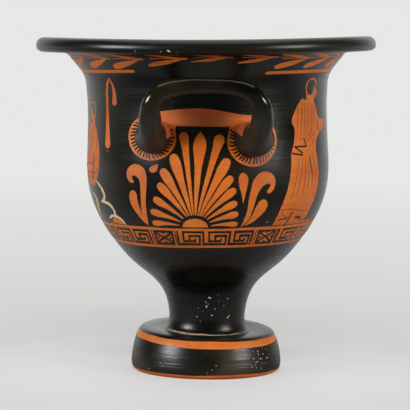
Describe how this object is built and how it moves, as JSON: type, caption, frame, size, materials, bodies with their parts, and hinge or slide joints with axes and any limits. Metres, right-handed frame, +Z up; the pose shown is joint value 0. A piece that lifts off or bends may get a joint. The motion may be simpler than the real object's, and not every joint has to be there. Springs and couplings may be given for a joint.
{
  "type": "bell krater",
  "caption": "Two-handled red-figure mixing bowl of fired clay with an overhanging lip, a narrow stem and a disc foot; it stands on its foot ring.",
  "frame": {"origin": "on the ground under the middle of the lip", "axes": "+Z up, the handles face -Y and +Y"},
  "size_m": [0.3049, 0.3136, 0.304],
  "materials": {
    "black_gloss": "black gloss slip, thin olive and brown in places, over orange fired clay",
    "clay": "matt to satin orange fired clay, left bare in the figures, bands and ornament",
    "added_white": "matt cream and yellow clay paint laid over the black gloss"
  },
  "bodies": {
    "root": {"krater": "black_gloss"}
  },
  "joints": []
}
